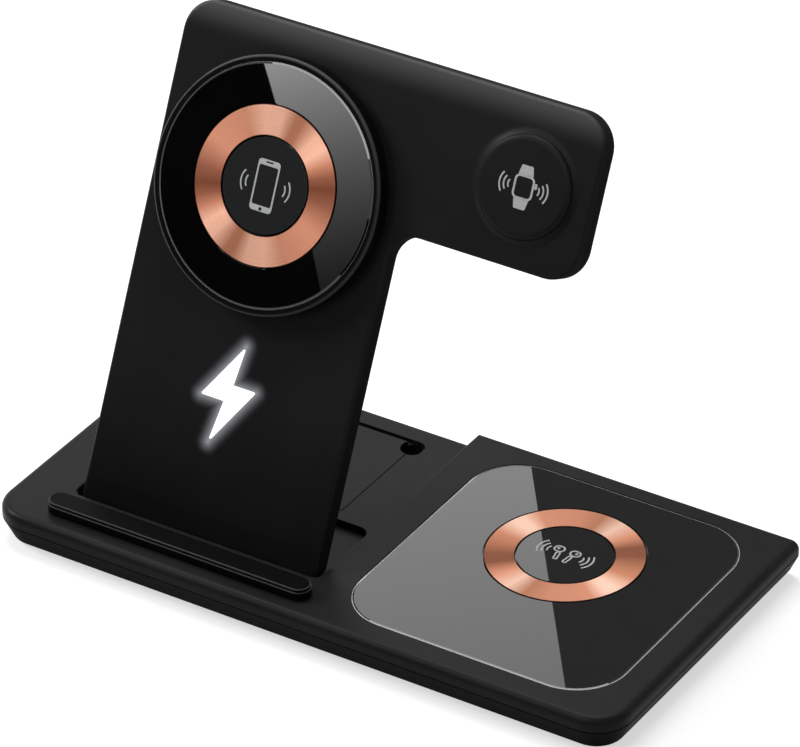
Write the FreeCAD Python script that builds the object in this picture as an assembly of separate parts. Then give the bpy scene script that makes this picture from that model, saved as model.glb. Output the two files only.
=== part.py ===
# Folding charging station: a low base with a glass charging pad and a
# recessed bay, and an L-shaped stand that carries a round phone charger and
# a watch charger and folds back into the bay on a friction hinge.
# Millimetres, Z up, X to the right along the front edge, Y to the back.
# The origin is on the table under the centre of the base.
import FreeCAD
import Part
import math
import os

V = FreeCAD.Vector
os.makedirs("parts", exist_ok=True)

# Base
base_width = 168.0
base_depth = 84.3
base_height = 9.4
base_corner = 9.0
base_top_round = 1.9
base_bottom_round = 0.7
base_taper = 2.5
base_wall = 1.6
foot_proud = 0.3
tray_floor = 1.4
seam_height = 5.65
seam_gap = 0.25
shell_roof = 1.4

# Folding bay in the base
bay_floor_height = 5.25
bay_skin = 1.2
bay_corner = 2.0
bay_floor_round = 1.6
bay_edge_round = 0.5
bay_side_gap = 1.4
bay_front_gap = 0.45
well_floor_height = 3.5
well_length = 27.6
well_side_inset = 3.2
well_corner = 3.0
pocket_depth = 1.1
pocket_side = 12.0
pocket_left_reach = 20.0
pocket_back_margin = 4.6
pocket_front_gap = 3.0
notch_length = 6.0
notch_reach = 2.6
notch_depth = 1.6
lid_gap = 0.25
lid_slot = 1.3

# Stand
tilt = 64.6
hinge_back = 19.55
hinge_height = 6.8
stem_width = 64.7
stem_left_margin = 15.6
arm_reach = 47.3
panel_length = 120.6
arm_height = 38.6
panel_thickness = 5.2
panel_corner = 8.2
panel_inner_corner = 6.8
panel_edge_round = 0.9
axis_to_back = 1.2
panel_wall = 1.4
cover_thickness = 1.1
cover_ledge = 1.5
solid_foot = 6.0

# Phone disc on the stand
disc_diameter = 59.6
disc_proud = 4.2
disc_drop = 36.9
disc_edge_round = 0.8
disc_wall = 2.8
disc_glass_diameter = 56.4
glass_thickness = 1.0
glass_edge = 0.18
glass_edge_width = 0.5
ring_outer = 37.3
ring_inner = 22.9
ring_thickness = 0.5
ring_groove = 0.45

# Watch charger on the arm
watch_diameter = 24.0
watch_proud = 0.7
watch_edge_round = 0.6
watch_drop = 20.1
watch_out = 30.0

# Lit charge mark on the stem
mark_height = 24.0
mark_width = 14.0
mark_rise = 34.0
guide_flange = 0.6
guide_flange_reach = 0.8

# Glass pad on the base
pad_width = 70.1
pad_depth = 73.2
pad_corner = 13.0
pad_right_margin = 7.7
pad_back_margin = 4.2
pad_ring_left = 0.4
pad_ring_back = 8.75

# Phone rest on the base
rest_length = 71.6
rest_width = 5.9
rest_height = 2.2
rest_pad_height = 0.8
rest_front_margin = 4.9

# Hinge
pin_radius = 1.25
pin_grip = 4.6
barrel_radius = 2.75
sleeve_radius = 1.95
sleeve_length = 8.0
bracket_width = 49.3
bracket_length = 19.0
bracket_plate = 1.5

# Clearances
press_clearance = 0.02
pin_seat_clearance = 0.07
running_clearance = 0.08
seat_clearance = 0.15
free_clearance = 0.3

# Inner parts and fixings
board_thickness = 1.0
board_post = 0.7
inlet_width = 8.9
inlet_height = 3.2
inlet_length = 7.3
coil_thickness = 1.0
ferrite_thickness = 0.8
magnet_thickness = 2.4
magnet_width = 4.1
magnet_gap = 0.5
magnet_count = 16
magnet_spacing = 2.4
phone_ferrite_gap = 0.9
phone_coil_margin = 1.0
phone_coil_bore = 20.0
phone_coil_thickness = 1.2
pad_coil_diameter = 40.0
pad_coil_bore = 18.0
pad_ferrite_margin = 2.0
main_board_width = 59.0
main_board_depth = 50.0
main_board_shift = 0.5
main_board_gap = 0.6
stand_board_width = 46.0
stand_board_height = 42.0
light_board_thickness = 0.8
light_board_margin_x = 3.0
light_board_margin_y = 2.0
screw_radius = 0.9
screw_head_radius = 1.9
screw_head = 0.75
driver_length = 2.4
driver_width = 0.6
driver_depth = 0.35
bracket_screw_bite = 2.0
foot_diameter = 10.0
foot_inset_x = 18.0
foot_inset_y = 10.5
screw_inset = 8.6
screw_length = 4.6
screw_boss_radius = 2.4


def prism(x0, x1, y0, y1, z0, z1, radius):
    """Upright block with its four vertical edges rounded."""
    block = Part.makeBox(x1 - x0, y1 - y0, z1 - z0, V(x0, y0, z0))
    if radius <= 0:
        return block
    upright = [e for e in block.Edges if abs(e.Vertexes[0].Z - e.Vertexes[1].Z) > 1e-6]
    return block.makeFillet(radius, upright)


def edges_at(shape, height):
    """Edges that lie wholly in the level plane at this height."""
    flat = []
    for e in shape.Edges:
        box = e.BoundBox
        if abs(box.ZMin - height) < 1e-4 and abs(box.ZMax - height) < 1e-4:
            flat.append(e)
    return flat


def rod(radius, height, x, y, z):
    return Part.makeCylinder(radius, height, V(x, y, z))


def tube(outer, inner, height, x, y, z):
    return rod(outer, height, x, y, z).cut(rod(inner, height + 2, x, y, z - 1))


def cross_rod(radius, x0, x1, y, z):
    """Cylinder that runs along X."""
    return Part.makeCylinder(radius, x1 - x0, V(x0, y, z), V(1, 0, 0))


def rounded_face(points, radii):
    """Flat face from a polygon in X and Y whose corners carry their own radii."""
    n = len(points)
    edges = []
    ends = []
    for i in range(n):
        p = V(points[i][0], points[i][1], 0)
        a = V(points[i - 1][0], points[i - 1][1], 0).sub(p)
        b = V(points[(i + 1) % n][0], points[(i + 1) % n][1], 0).sub(p)
        a.normalize()
        b.normalize()
        half = a.getAngle(b) / 2
        reach = radii[i] / math.tan(half)
        bisector = a.add(b)
        bisector.normalize()
        mid = p.add(bisector.multiply(radii[i] / math.sin(half) - radii[i]))
        ends.append((p.add(V(a).multiply(reach)), mid, p.add(V(b).multiply(reach))))
    for i in range(n):
        start, mid, end = ends[i]
        if radii[i] > 0:
            edges.append(Part.Arc(start, mid, end).toShape())
        following = ends[(i + 1) % n][0]
        if end.distanceToPoint(following) > 1e-6:
            edges.append(Part.LineSegment(end, following).toShape())
    return Part.Face(Part.Wire(edges))


def raised(face, z0, z1):
    """Face in the XY plane made into a block between two heights."""
    block = face.extrude(V(0, 0, z1 - z0))
    block.translate(V(0, 0, z0))
    return block


def group(solids):
    return Part.makeCompound(solids)


# Positions that several pieces share
half_w = base_width / 2
half_d = base_depth / 2
hinge_y = -half_d + hinge_back
stem_left = -half_w + stem_left_margin
stem_right = stem_left + stem_width
stem_mid = (stem_left + stem_right) / 2
arm_right = stem_right + arm_reach
disc_rise = panel_length - disc_drop
watch_rise = panel_length - watch_drop
face_n = panel_thickness - axis_to_back
back_n = -axis_to_back
bay_left = stem_left - bay_side_gap
bay_right = stem_right + bay_side_gap
bay_front = hinge_y - face_n - bay_front_gap
well_back = bay_front + well_length
tray_top = foot_proud + tray_floor
shell_bottom = seam_height + seam_gap
pad_right = half_w - pad_right_margin
pad_left = pad_right - pad_width
pad_mid = (pad_left + pad_right) / 2
pad_back = half_d - pad_back_margin
pad_front = pad_back - pad_depth
ring_x = pad_mid - pad_ring_left
ring_y = (pad_front + pad_back) / 2 + pad_ring_back
pad_bottom = base_height - glass_thickness
roof_bottom = pad_bottom - shell_roof + 0.2
strip_roof = base_height - shell_roof
inner_w = half_w - base_wall
inner_d = half_d - base_wall
screw_x = half_w - screw_inset
screw_y = half_d - screw_inset
foot_x = half_w - foot_inset_x
foot_y = half_d - foot_inset_y
block_half = 4.0
board_z = tray_top + board_post
inlet_z = board_z + board_thickness + inlet_height / 2
inlet_x = pad_mid


def to_stand(shape):
    """Places a piece drawn flat, hinge axis at the origin, into the leaning stand."""
    shape.rotate(V(0, 0, 0), V(1, 0, 0), tilt)
    shape.translate(V(0, hinge_y, hinge_height))
    return shape


def driver_slot(x, y, z):
    """Straight slot for a screwdriver in a screw head whose face looks down at this height."""
    start = V(x - driver_length / 2, y - driver_width / 2, z - 0.05)
    return Part.makeBox(driver_length, driver_width, driver_depth + 0.05, start)


def stadium(length, width, x, z, y0, y1):
    """Slot-shaped bar that runs along Y, lying wide side level."""
    r = width / 2
    reach = length / 2 - r
    body = Part.makeBox(2 * reach, y1 - y0, width, V(x - reach, y0, z - r))
    left = Part.makeCylinder(r, y1 - y0, V(x - reach, y0, z), V(0, 1, 0))
    right = Part.makeCylinder(r, y1 - y0, V(x + reach, y0, z), V(0, 1, 0))
    return body.fuse([left, right]).removeSplitter()


def base_face(inset, back_inset):
    """Outline of the base: round corners in front, square corners at the back."""
    points = [
        (-half_w + inset, -half_d + inset),
        (half_w - inset, -half_d + inset),
        (half_w - inset, half_d - back_inset),
        (-half_w + inset, half_d - back_inset),
    ]
    return rounded_face(points, [base_corner - inset, base_corner - inset, 0, 0])


def tapered(z0, z1, wall):
    """Body of the tray between two heights, drawn in towards the table, less a wall."""
    wires = []
    for z in (z0, z1):
        lean = base_taper * (seam_height - z) / (seam_height - foot_proud)
        wire = base_face(wall + lean, wall).OuterWire
        wire.translate(V(0, 0, z))
        wires.append(wire)
    return Part.makeLoft(wires, True, True)


pieces = {}

# Lower tray of the base, moulded, with posts for the board and pockets for feet and screws.
tray = tapered(foot_proud, seam_height, 0)
tray = tray.makeFillet(base_bottom_round, edges_at(tray, foot_proud))
tray = tray.cut(tapered(tray_top, seam_height + 1, base_wall))
back_gap = Part.makeBox(
    bay_right - bay_left + 3.0 + 2 * seat_clearance,
    base_wall + 2,
    seam_height,
    V(bay_left - 1.5 - seat_clearance, inner_d - 1, bay_floor_height - bay_skin - seam_gap),
)
tray = tray.cut(back_gap)
board_x0 = pad_mid - main_board_width / 2 - main_board_shift
board_x1 = board_x0 + main_board_width
board_y1 = half_d - base_wall - main_board_gap
board_y0 = board_y1 - main_board_depth
posts = []
for px in (board_x0 + 3.0, board_x1 - 3.0):
    for py in (board_y0 + 3.0, board_y1 - 4.0):
        posts.append(rod(2.0, board_post, px, py, tray_top))
tray = tray.fuse(posts)
foot_depth = tray_floor / 2
feet = []
screws = []
cuts = []
for sx in (-1, 1):
    for sy in (-1, 1):
        fx = sx * foot_x
        fy = sy * foot_y
        cuts.append(rod(foot_diameter / 2 + seat_clearance, foot_depth + 1, fx, fy, foot_proud - 1))
        feet.append(rod(foot_diameter / 2, foot_proud + foot_depth, fx, fy, 0))
        cx = sx * screw_x
        cy = sy * screw_y
        cuts.append(rod(screw_head_radius + seat_clearance, screw_head + 1, cx, cy, foot_proud - 1))
        cuts.append(rod(screw_radius + seat_clearance, tray_floor + 2, cx, cy, foot_proud - 1))
        head = rod(screw_head_radius, screw_head, cx, cy, foot_proud)
        shank = rod(screw_radius, screw_length, cx, cy, foot_proud)
        slot = driver_slot(cx, cy, foot_proud)
        screws.append(head.fuse(shank).cut(slot))
tray = tray.cut(cuts)
inlet_hole = stadium(inlet_width + 0.8, inlet_height + 0.8, inlet_x, inlet_z, inner_d - 1, half_d + 1)
tray = tray.cut(inlet_hole)
pieces["base_tray"] = tray
pieces["feet"] = group(feet)
pieces["tray_screws"] = group(screws)

# Upper shell of the base with the folding bay, the hinge well and the seat for the glass.
shell = raised(base_face(0, 0), shell_bottom, base_height)
top_edges = [e for e in edges_at(shell, base_height) if e.BoundBox.YMin < half_d - 0.01]
shell = shell.makeFillet(base_top_round, top_edges)
floor_block = Part.makeBox(
    bay_right - bay_left + 3.0,
    inner_d - seat_clearance - bay_front + base_wall,
    bay_floor_height - well_floor_height + 1.0,
    V(bay_left - 1.5, bay_front - base_wall, well_floor_height - 1.0),
)
back_lip = Part.makeBox(
    bay_right - bay_left + 3.0,
    base_wall + 2.0,
    bay_skin + 1.0,
    V(bay_left - 1.5, half_d - base_wall - 2.0, bay_floor_height - bay_skin),
)
shell = shell.fuse([floor_block, back_lip])
bay_start = V(bay_left, bay_front, bay_floor_height)
bay = Part.makeBox(bay_right - bay_left, 2 * base_depth, base_height, bay_start)
bay_edges = []
for e in bay.Edges:
    a = e.Vertexes[0].Point
    b = e.Vertexes[1].Point
    along_y = abs(a.y - b.y) > 1
    upright = abs(a.z - b.z) > 1
    low = max(a.z, b.z) < bay_floor_height + 1e-6
    front = max(a.y, b.y) < bay_front + 1e-6
    if upright and front:
        bay_edges.append((e, bay_corner))
    if low and along_y:
        bay_edges.append((e, bay_floor_round))
bay = bay.makeFillet(bay_corner, [e for e, r in bay_edges if r == bay_corner])
low_edges = []
for e in bay.Edges:
    box = e.BoundBox
    if box.ZMax < bay_floor_height + 1e-4 and box.YLength > base_depth and box.XLength < 1e-4:
        low_edges.append(e)
bay = bay.makeFillet(bay_floor_round, low_edges)
shell = shell.cut(bay)
bay_rim = []
for e in edges_at(shell, base_height):
    box = e.BoundBox
    inside = box.XMin > bay_left - 0.1 and box.XMax < bay_right + 0.1
    if inside and box.YMin > bay_front - 0.1:
        bay_rim.append(e)
shell = shell.makeFillet(bay_edge_round, bay_rim)
well = prism(
    bay_left + well_side_inset,
    bay_right - well_side_inset,
    bay_front,
    well_back,
    well_floor_height,
    bay_floor_height + 0.5,
    well_corner,
)
well = well.fuse(
    Part.makeBox(
        bay_right - bay_left - 2 * well_side_inset,
        well_corner + 1,
        bay_floor_height + 0.5 - well_floor_height,
        V(bay_left + well_side_inset, bay_front, well_floor_height),
    )
)
toe_trench = Part.makeBox(
    bay_right - bay_left,
    hinge_y + panel_thickness / 2 - bay_front,
    bay_floor_height + bay_floor_round - well_floor_height,
    V(bay_left, bay_front, well_floor_height),
)
pocket_left = stem_mid - pocket_left_reach
pocket_right = stem_right - pocket_side
pocket_front = well_back + pocket_front_gap
pocket_back = half_d - pocket_back_margin
pocket = prism(
    pocket_left,
    pocket_right,
    pocket_front,
    pocket_back,
    bay_floor_height - pocket_depth,
    bay_floor_height + 0.5,
    1.0,
)
lid = prism(
    pocket_left + lid_gap,
    pocket_right - lid_gap,
    pocket_front + lid_gap,
    pocket_back - lid_slot,
    bay_floor_height - pocket_depth,
    bay_floor_height,
    1.0,
)
pocket = pocket.cut(lid)
notch_y = pocket_back - notch_length / 2
notch = rod(notch_length / 2, notch_depth + 0.5, pocket_right, notch_y, bay_floor_height - notch_depth)
notch_start = V(pocket_right - 3.0, notch_y - notch_length / 2, bay_floor_height - 2.0)
notch_limit = Part.makeBox(notch_reach + 3.0, notch_length, 4.0, notch_start)
shell = shell.cut([well, toe_trench, pocket, notch.common(notch_limit)])
under = bay_floor_height - bay_skin
shell = shell.cut(
    Part.makeBox(
        bay_right - bay_left + 4.0,
        half_d - well_back,
        under - pocket_depth + 0.2,
        V(bay_left - 2.0, well_back + 1.5, 0),
    )
)
spans = [(bay_left - 2.0, pocket_left - 1.2), (pocket_right + notch_reach + 1.6, bay_right + 2.0)]
for x0, x1 in spans:
    shell = shell.cut(Part.makeBox(x1 - x0, half_d - well_back, under, V(x0, well_back + 1.5, 0)))
left_room = prism(-inner_w + 1.0, bay_left - 1.5, -inner_d + 1.0, inner_d, 0, strip_roof, 1.0)
left_start = V(-half_w, hinge_y - block_half, well_floor_height - 1.0)
left_keep = Part.makeBox(base_width, 2 * block_half, base_height, left_start)
right_room = prism(bay_right + 1.5, inner_w - 1.0, -inner_d + 1.0, inner_d, 0, roof_bottom, 1.0)
right_start = V(bay_right, hinge_y - block_half, well_floor_height - 1.0)
right_keep = Part.makeBox(pin_grip + 2.0, 2 * block_half, base_height, right_start)
front_room = Part.makeBox(
    bay_right - bay_left + 4.0,
    inner_d + bay_front - base_wall,
    strip_roof,
    V(bay_left - 2.0, -inner_d, 0),
)
shell = shell.cut([left_room.cut(left_keep), right_room.cut(right_keep), front_room])
lead_slot = Part.makeBox(4.0, 5.0, 1.6, V(bay_right - 1.0, well_back - 6.0, well_floor_height - 1.0))
shell = shell.cut(lead_slot)
bosses = []
for sx in (-1, 1):
    for sy in (-1, 1):
        roof = strip_roof if sx < 0 else roof_bottom
        boss = rod(screw_boss_radius, roof - tray_top, sx * screw_x, sy * screw_y, tray_top)
        hole = rod(screw_radius + press_clearance, 3.8, sx * screw_x, sy * screw_y, tray_top)
        bosses.append(boss.cut(hole))
shell = shell.fuse(bosses)
glass_seat = prism(
    pad_left - seat_clearance,
    pad_right + seat_clearance,
    pad_front - seat_clearance,
    pad_back + seat_clearance,
    pad_bottom,
    base_height + 1,
    pad_corner + seat_clearance,
)
shell = shell.cut(glass_seat)
shell = shell.cut(inlet_hole)
pin_x0 = bay_left - pin_grip
pin_x1 = bay_right + pin_grip
slot_r = pin_radius + pin_seat_clearance
keepers = []
for x0, x1 in ((pin_x0, bay_left), (bay_right, pin_x1)):
    shell = shell.cut(Part.makeBox(x1 - x0, 2 * slot_r, hinge_height, V(x0, hinge_y - slot_r, 0)))
    shell = shell.cut(cross_rod(slot_r, x0, x1, hinge_y, hinge_height))
    keeper_z = tray_top
    keeper = Part.makeBox(
        x1 - x0 - 2 * press_clearance,
        2 * pin_radius,
        hinge_height - keeper_z,
        V(x0 + press_clearance, hinge_y - pin_radius, keeper_z),
    )
    cradle = cross_rod(pin_radius + press_clearance, x0 - 1, x1 + 1, hinge_y, hinge_height)
    keepers.append(keeper.cut(cradle))
pieces["base_shell"] = shell.removeSplitter()
pieces["pin_keepers"] = group(keepers)
pin = cross_rod(pin_radius, pin_x0 + press_clearance, pin_x1 - press_clearance, hinge_y, hinge_height)
pieces["hinge_pin"] = pin

# Glass pad, its copper ring, and the charging parts under it.


def ground_edge(sheet, top):
    """Sheet of glass with its upper edge ground off at a flat angle."""
    return sheet.makeChamfer(glass_edge, glass_edge_width, edges_at(sheet, top))


glass = prism(pad_left, pad_right, pad_front, pad_back, pad_bottom, base_height, pad_corner)
glass = ground_edge(glass, base_height)
groove_gap = 2 * seat_clearance
groove = tube(
    ring_outer / 2 + groove_gap,
    ring_inner / 2 - groove_gap,
    ring_groove + 1,
    ring_x,
    ring_y,
    base_height - ring_groove,
)
pieces["pad_glass"] = glass.cut(groove)
ring = tube(ring_outer / 2, ring_inner / 2, ring_thickness, ring_x, ring_y, base_height - ring_groove)
pieces["pad_ring"] = ring
coil_z = roof_bottom - coil_thickness
pad_coil_r = pad_coil_diameter / 2
pieces["pad_coil"] = tube(pad_coil_r, pad_coil_bore / 2, coil_thickness, ring_x, ring_y, coil_z)
pad_ferrite_r = pad_coil_r + pad_ferrite_margin
pieces["pad_ferrite"] = rod(pad_ferrite_r, ferrite_thickness, ring_x, ring_y, coil_z - ferrite_thickness)

# Main board with its parts and the power inlet in the back wall.
board_start = V(board_x0, board_y0, board_z)
board = Part.makeBox(board_x1 - board_x0, board_y1 - board_y0, board_thickness, board_start)
pieces["main_board"] = board
parts_z = board_z + board_thickness
chips = []
for cx, cy, cw, cd, ch in (
    (8.0, 10.0, 7.0, 7.0, 1.0),
    (22.0, 9.0, 5.0, 5.0, 0.9),
    (34.0, 12.0, 6.4, 6.4, 1.2),
    (46.0, 10.0, 4.0, 8.0, 1.1),
    (12.0, 28.0, 5.0, 5.0, 0.9),
    (44.0, 26.0, 6.0, 4.0, 1.0),
    (27.0, 27.0, 3.2, 1.6, 0.8),
):
    chips.append(Part.makeBox(cw, cd, ch, V(board_x0 + cx, board_y0 + cy, parts_z)))
pieces["board_parts"] = group(chips)
inlet_y1 = half_d - 0.4
inlet = stadium(inlet_width, inlet_height, inlet_x, inlet_z, inlet_y1 - inlet_length, inlet_y1)
inlet_y0 = inlet_y1 - inlet_length
mouth = stadium(inlet_width - 0.7, inlet_height - 0.7, inlet_x, inlet_z, inlet_y0 + 0.8, inlet_y1 + 1)
inlet = inlet.cut(mouth)
tongue = Part.makeBox(6.6, 4.6, 0.7, V(inlet_x - 3.3, inlet_y0 + 0.7, inlet_z - 0.35))
pieces["power_inlet"] = inlet.fuse(tongue).removeSplitter()

# Rest bar for the phone and the soft pad on it.
rest_x0 = stem_mid + 0.6 - rest_length / 2
rest_x1 = stem_mid + 0.6 + rest_length / 2
rest_y0 = -half_d + rest_front_margin
rest_y1 = rest_y0 + rest_width
rest_round = rest_width / 2 - 0.01
bar = prism(rest_x0, rest_x1, rest_y0, rest_y1, base_height, base_height + rest_height, rest_round)
bar = bar.makeFillet(0.3, edges_at(bar, base_height + rest_height))
pieces["rest_bar"] = bar
pad_top = base_height + rest_height + rest_pad_height
soft = prism(
    rest_x0 + 0.2,
    rest_x1 - 0.2,
    rest_y0 + 0.2,
    rest_y1 - 0.2,
    base_height + rest_height,
    pad_top,
    rest_round - 0.2,
)
soft = soft.makeFillet(0.35, edges_at(soft, pad_top))
pieces["rest_pad"] = soft


def panel_face(inset, foot):
    """Outline of the L-shaped panel, drawn flat and drawn in by an inset."""
    low = panel_length - arm_height
    points = [
        (stem_left + inset, foot),
        (stem_right - inset, foot),
        (stem_right - inset, low + inset),
        (arm_right - inset, low + inset),
        (arm_right - inset, panel_length - inset),
        (stem_left + inset, panel_length - inset),
    ]
    outer = panel_corner - inset
    foot_r = 0.0 if inset == 0 else 2.0
    return rounded_face(points, [foot_r, foot_r, panel_inner_corner + inset, outer, outer, outer])


def bolt_face(grow):
    """Outline of a plain charge bolt, six corners, grown outwards a little."""
    w = mark_width / 2
    h = mark_height / 2
    outline = [
        (0.30 * w, h),
        (-w, -0.14 * h),
        (-0.10 * w, -0.14 * h),
        (-0.36 * w, -h),
        (w, 0.20 * h),
        (0.12 * w, 0.20 * h),
    ]
    points = [(stem_mid + x, mark_rise + y) for x, y in outline]
    face = rounded_face(points, [0.25, 0.25, 0.25, 0.25, 0.25, 0.25])
    if grow > 0:
        face = face.makeOffset2D(grow)
    return face


# Front shell of the stand, drawn flat with the hinge axis at the origin.
foot_s = -panel_thickness / 2
front = raised(panel_face(0, foot_s), back_n, face_n)
foot_edges = []
for e in front.Edges:
    box = e.BoundBox
    if box.YMax < foot_s + 1e-4 and box.ZLength < 1e-4:
        foot_edges.append(e)
front = front.makeFillet(panel_thickness / 2 - 0.05, foot_edges)
rim_edges = []
for e in front.Edges:
    box = e.BoundBox
    on_face = box.ZLength < 1e-4 and (abs(box.ZMin - face_n) < 1e-4 or abs(box.ZMin - back_n) < 1e-4)
    level = box.XLength > stem_width - 2 and box.YMax < 1.0
    on_side = box.XLength < 1e-4 and box.YMax < 1.0
    if (on_face and not level) or on_side:
        rim_edges.append(e)
front = front.makeFillet(panel_edge_round, rim_edges)
watch_x = stem_right + watch_out
boss = rod(watch_diameter / 2, watch_proud + 0.5, watch_x, watch_rise, face_n - 0.5)
boss = boss.makeFillet(watch_edge_round, edges_at(boss, face_n + watch_proud))
front = front.fuse(boss)
cover_n = back_n + cover_thickness
room_n = face_n - panel_wall
cover_edge = panel_edge_round + 0.6
front = front.cut(raised(panel_face(cover_edge, solid_foot), back_n - 1, cover_n))
front = front.cut(raised(panel_face(cover_edge + cover_ledge, solid_foot + 2.0), cover_n - 0.1, room_n))
watch_pocket = 0.8
front = front.cut(rod(watch_diameter / 2 - 0.7, watch_pocket + 0.1, watch_x, watch_rise, room_n - 0.1))
screw_points = []
for px in (stem_mid - bracket_width / 2 + 7.0, stem_mid + bracket_width / 2 - 7.0):
    for ps in (10.8, bracket_length - 3.4):
        screw_points.append((px, ps))
for px, ps in screw_points:
    front = front.fuse(rod(2.2, room_n - cover_n + 0.2, px, ps, cover_n))
for px, ps in screw_points:
    front = front.cut(rod(screw_radius + press_clearance, 3.2, px, ps, cover_n - 1))
disc_x = stem_mid
front = front.cut(rod(3.0, panel_wall + 2, disc_x, disc_rise, room_n - 1))
front = front.cut(raised(bolt_face(seat_clearance / 2), room_n - 1, face_n + 1))
bar_x0 = stem_mid - bracket_width / 2
bar_x1 = stem_mid + bracket_width / 2
barrel_room = barrel_radius + seat_clearance
front = front.cut(cross_rod(barrel_room, bar_x0 - seat_clearance, bar_x1 + seat_clearance, 0, 0))
front = front.cut(cross_rod(pin_radius + free_clearance, stem_left - 1, stem_right + 1, 0, 0))
pieces["stand_shell"] = to_stand(front.removeSplitter())

# Rear cover of the stand.
cover = raised(panel_face(cover_edge + seat_clearance, solid_foot + seat_clearance), back_n, cover_n)
for px, ps in screw_points:
    cover = cover.cut(rod(screw_radius + seat_clearance, 4.0, px, ps, back_n - 1))
pieces["stand_cover"] = to_stand(cover)

# Hinge bracket with its barrel, the sleeves that grip the pin, and the screws.
plate = prism(bar_x0, bar_x1, 0, bracket_length, back_n - bracket_plate, back_n, 0)
corner_edges = []
for e in plate.Edges:
    if e.BoundBox.ZLength > 1e-4 and e.BoundBox.YMin > bracket_length - 1e-4:
        corner_edges.append(e)
plate = plate.makeFillet(3.0, corner_edges)
bracket = plate.fuse(cross_rod(barrel_radius, bar_x0, bar_x1, 0, 0))
bracket = bracket.cut(cross_rod(sleeve_radius + press_clearance, bar_x0 - 1, bar_x1 + 1, 0, 0))
bracket_screws = []
for px, ps in screw_points:
    bracket = bracket.cut(rod(screw_radius + seat_clearance, 4.0, px, ps, back_n - bracket_plate - 1))
    bracket = bracket.cut(
        rod(screw_head_radius + seat_clearance, screw_head + 1, px, ps, back_n - bracket_plate - 1)
    )
    head = rod(screw_head_radius, screw_head, px, ps, back_n - bracket_plate)
    shank_length = bracket_plate + cover_thickness + bracket_screw_bite
    shank = rod(screw_radius, shank_length, px, ps, back_n - bracket_plate)
    slot = driver_slot(px, ps, back_n - bracket_plate)
    bracket_screws.append(to_stand(head.fuse(shank).cut(slot)))
pieces["hinge_bracket"] = to_stand(bracket.removeSplitter())
pieces["bracket_screws"] = group(bracket_screws)
sleeves = []
for x0 in (bar_x0, bar_x1 - sleeve_length):
    sleeve = cross_rod(sleeve_radius, x0, x0 + sleeve_length, 0, 0)
    bore = cross_rod(pin_radius + running_clearance, x0 - 1, x0 + sleeve_length + 1, 0, 0)
    sleeves.append(to_stand(sleeve.cut(bore)))
pieces["hinge_sleeves"] = group(sleeves)

# Phone disc: housing ring, glass with its copper ring, coil, ferrite and magnets.
disc_n = face_n + disc_proud
housing = rod(disc_diameter / 2, disc_proud, disc_x, disc_rise, face_n)
housing = housing.makeFillet(disc_edge_round, edges_at(housing, disc_n))
glass_r = disc_glass_diameter / 2
lens_n = disc_n - glass_thickness
housing = housing.cut(rod(glass_r + seat_clearance, glass_thickness + 1, disc_x, disc_rise, lens_n))
housing = housing.cut(rod(disc_diameter / 2 - disc_wall, disc_proud + 2, disc_x, disc_rise, face_n - 1))
pieces["disc_housing"] = to_stand(housing)
lens = rod(glass_r, glass_thickness, disc_x, disc_rise, lens_n)
lens = ground_edge(lens, disc_n)
lens = lens.cut(
    tube(
        ring_outer / 2 + groove_gap,
        ring_inner / 2 - groove_gap,
        ring_groove + 1,
        disc_x,
        disc_rise,
        disc_n - ring_groove,
    )
)
pieces["disc_glass"] = to_stand(lens)
pieces["disc_ring"] = to_stand(
    tube(ring_outer / 2, ring_inner / 2, ring_thickness, disc_x, disc_rise, disc_n - ring_groove)
)
magnet_outer = disc_diameter / 2 - disc_wall - magnet_gap
magnet_inner = magnet_outer - magnet_width
phone_ferrite_r = magnet_inner - phone_ferrite_gap
phone_coil_r = phone_ferrite_r - phone_coil_margin
coil_n = face_n + ferrite_thickness
pieces["phone_ferrite"] = to_stand(rod(phone_ferrite_r, ferrite_thickness, disc_x, disc_rise, face_n))
phone_coil = tube(phone_coil_r, phone_coil_bore / 2, phone_coil_thickness, disc_x, disc_rise, coil_n)
pieces["phone_coil"] = to_stand(phone_coil)
magnet_ring = tube(magnet_outer, magnet_inner, magnet_thickness, disc_x, disc_rise, face_n)
magnets = []
for i in range(magnet_count):
    start = 360.0 * i / magnet_count + magnet_spacing / 2
    sweep = 360.0 / magnet_count - magnet_spacing
    centre = V(disc_x, disc_rise, face_n)
    sector = Part.makeCylinder(disc_diameter, magnet_thickness, centre, V(0, 0, 1), sweep)
    sector.rotate(V(disc_x, disc_rise, 0), V(0, 0, 1), start)
    magnets.append(to_stand(magnet_ring.common(sector)))
pieces["phone_magnets"] = group(magnets)

# Boards and light inside the stem.
stand_board_start = V(stem_mid - stand_board_width / 2, disc_rise - stand_board_height / 2, cover_n)
stand_board = Part.makeBox(stand_board_width, stand_board_height, board_thickness, stand_board_start)
pieces["stand_board"] = to_stand(stand_board)
guide = raised(bolt_face(0), room_n - guide_flange, face_n)
guide = guide.fuse(raised(bolt_face(guide_flange_reach), room_n - guide_flange, room_n))
pieces["light_guide"] = to_stand(guide)
light_w = mark_width + 2 * light_board_margin_x
light_h = mark_height + 2 * light_board_margin_y
light_start = V(stem_mid - light_w / 2, mark_rise - light_h / 2, cover_n)
pieces["light_board"] = to_stand(Part.makeBox(light_w, light_h, light_board_thickness, light_start))
led_n = cover_n + light_board_thickness
leds = []
for lx, ls in ((0.8, 7.0), (-1.6, 2.4), (1.6, -1.2), (-0.6, -6.0)):
    corner = V(stem_mid + lx - 1.0, mark_rise + ls - 0.7, led_n)
    leds.append(to_stand(Part.makeBox(2.0, 1.4, 0.6, corner)))
pieces["leds"] = group(leds)

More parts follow.
